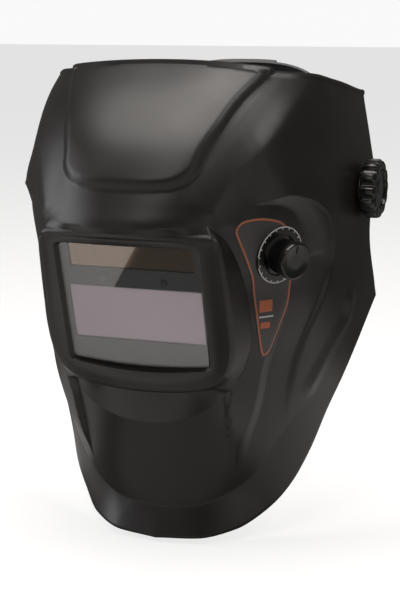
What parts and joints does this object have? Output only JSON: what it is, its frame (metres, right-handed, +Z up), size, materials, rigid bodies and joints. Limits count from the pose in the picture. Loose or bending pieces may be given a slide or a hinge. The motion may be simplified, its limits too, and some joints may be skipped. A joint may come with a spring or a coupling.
{
  "type": "welding helmet",
  "caption": "Auto-darkening welding helmet: a deep moulded face shell with a framed filter window, cheek shade dial, side tension knobs and a ratchet headgear.",
  "frame": {"origin": "midpoint between the two side pivots, where the wearer's head is", "axes": "+X towards the wearer's left, the face looks along -Y, +Z up"},
  "size_m": [0.25, 0.2896, 0.3134],
  "materials": {
    "shell_plastic": "satin",
    "clear_lens": "polished",
    "cartridge_plastic": "satin",
    "filter_glass": "polished",
    "solar_film": "polished",
    "sensor_lens": "polished",
    "board": "satin",
    "steel": "brushed",
    "brass": "machined",
    "fitting_plastic": "satin",
    "knob_plastic": "satin",
    "button_plastic": "satin",
    "scale_ring": "printed",
    "cable_sheath": "satin",
    "label_film": "satin",
    "headgear_plastic": "satin",
    "sweatband_fabric": "woven",
    "washer_fibre": "matte"
  },
  "bodies": {
    "headgear": {"headband": "headgear_plastic", "side_arm_left": "headgear_plastic", "side_arm_right": "headgear_plastic", "arm_rivets": "fitting_plastic", "sweatband": "sweatband_fabric", "crown_strap_left": "headgear_plastic", "crown_strap_right": "headgear_plastic", "crown_strap_peg": "fitting_plastic", "crown_strap_studs": "fitting_plastic", "band_tail_left": "headgear_plastic", "band_tail_right": "headgear_plastic"},
    "pivot_carriage": {"pivot_bolt_left": "steel", "pivot_bolt_right": "steel", "pivot_sleeve_left": "fitting_plastic", "pivot_sleeve_right": "fitting_plastic", "tilt_stop_plate_left": "fitting_plastic", "tilt_stop_plate_right": "fitting_plastic", "friction_washers_left": "washer_fibre", "friction_washers_right": "washer_fibre"},
    "shell": {"helmet_shell": "shell_plastic", "front_cover_lens": "clear_lens", "filter_housing_front": "cartridge_plastic", "filter_housing_back": "cartridge_plastic", "lcd_filter_glass": "filter_glass", "solar_cell": "solar_film", "arc_sensors": "sensor_lens", "filter_circuit_board": "board", "filter_battery": "steel", "inner_cover_lens": "clear_lens", "filter_retainer": "fitting_plastic", "retainer_screws": "steel", "shade_scale_ring": "scale_ring", "potentiometer": "fitting_plastic", "potentiometer_nut": "steel", "control_cable": "cable_sheath", "side_label": "label_film"},
    "shade_control": {"shade_knob": "knob_plastic", "potentiometer_shaft": "steel"},
    "sensitivity_control": {"sensitivity_knob": "knob_plastic"},
    "delay_control": {"delay_knob": "knob_plastic"},
    "test_control": {"test_button": "button_plastic"},
    "tension_left": {"tension_knob_left": "knob_plastic", "knob_insert_left": "brass"},
    "tension_right": {"tension_knob_right": "knob_plastic", "knob_insert_right": "brass"},
    "rear_adjuster": {"adjuster_base": "fitting_plastic", "adjuster_cover": "fitting_plastic", "nape_pad": "sweatband_fabric"},
    "rack_left": {"band_rack_left": "headgear_plastic"},
    "rack_right": {"band_rack_right": "headgear_plastic"},
    "size_dial": {"ratchet_dial": "knob_plastic", "ratchet_pinion": "fitting_plastic"}
  },
  "joints": [
    {"name": "reach_slide", "type": "slide", "parent": "headgear", "child": "pivot_carriage", "axis": [0, -1, 0], "range_m": [-0.008, 0.008]},
    {"name": "shell_tilt", "type": "hinge", "parent": "pivot_carriage", "child": "shell", "pos_m": [0, 0, 0], "axis": [-1, 0, 0], "range_deg": [0, 75]},
    {"name": "tension_turn_left", "type": "hinge", "parent": "pivot_carriage", "child": "tension_left", "pos_m": [0.118, 0, 0], "axis": [1, 0, 0], "range_deg": [0, 300]},
    {"name": "tension_turn_right", "type": "hinge", "parent": "pivot_carriage", "child": "tension_right", "pos_m": [-0.118, 0, 0], "axis": [-1, 0, 0], "range_deg": [0, 300]},
    {"name": "shade_turn", "type": "hinge", "parent": "shell", "child": "shade_control", "pos_m": [0.084, -0.094, -0.033], "axis": [0.8619, -0.4811, -0.1604], "range_deg": [-135, 135]},
    {"name": "sensitivity_turn", "type": "hinge", "parent": "shell", "child": "sensitivity_control", "pos_m": [-0.03, -0.10733, -0.09585], "axis": [0, 0.9636, 0.2672], "range_deg": [-135, 135]},
    {"name": "delay_turn", "type": "hinge", "parent": "shell", "child": "delay_control", "pos_m": [0.03, -0.10733, -0.09585], "axis": [0, 0.9636, 0.2672], "range_deg": [-135, 135]},
    {"name": "test_press", "type": "slide", "parent": "shell", "child": "test_control", "axis": [0, -0.9636, -0.2672], "range_m": [0, 0.001], "stiffness_N_per_m": 300},
    {"name": "band_size", "type": "slide", "parent": "headgear", "child": "rear_adjuster", "axis": [0, -1, 0], "range_m": [-0.01, 0.012], "deforming": ["band_tail_left", "band_tail_right"]},
    {"name": "rack_slide_left", "type": "slide", "parent": "rear_adjuster", "child": "rack_left", "axis": [-1, 0, 0], "range_m": [-0.01, 0.012]},
    {"name": "rack_slide_right", "type": "slide", "parent": "rear_adjuster", "child": "rack_right", "axis": [1, 0, 0], "range_m": [-0.01, 0.012]},
    {"name": "dial_turn", "type": "hinge", "parent": "rear_adjuster", "child": "size_dial", "pos_m": [0, 0.118, -0.03], "axis": [0, 1, 0], "range_deg": [-115, 96]}
  ],
  "couplings": [
    {"joint": "rack_slide_left", "follows": "band_size", "ratio": 1},
    {"joint": "rack_slide_right", "follows": "band_size", "ratio": 1},
    {"joint": "dial_turn", "follows": "band_size", "rad_per_m": -166.67}
  ]
}
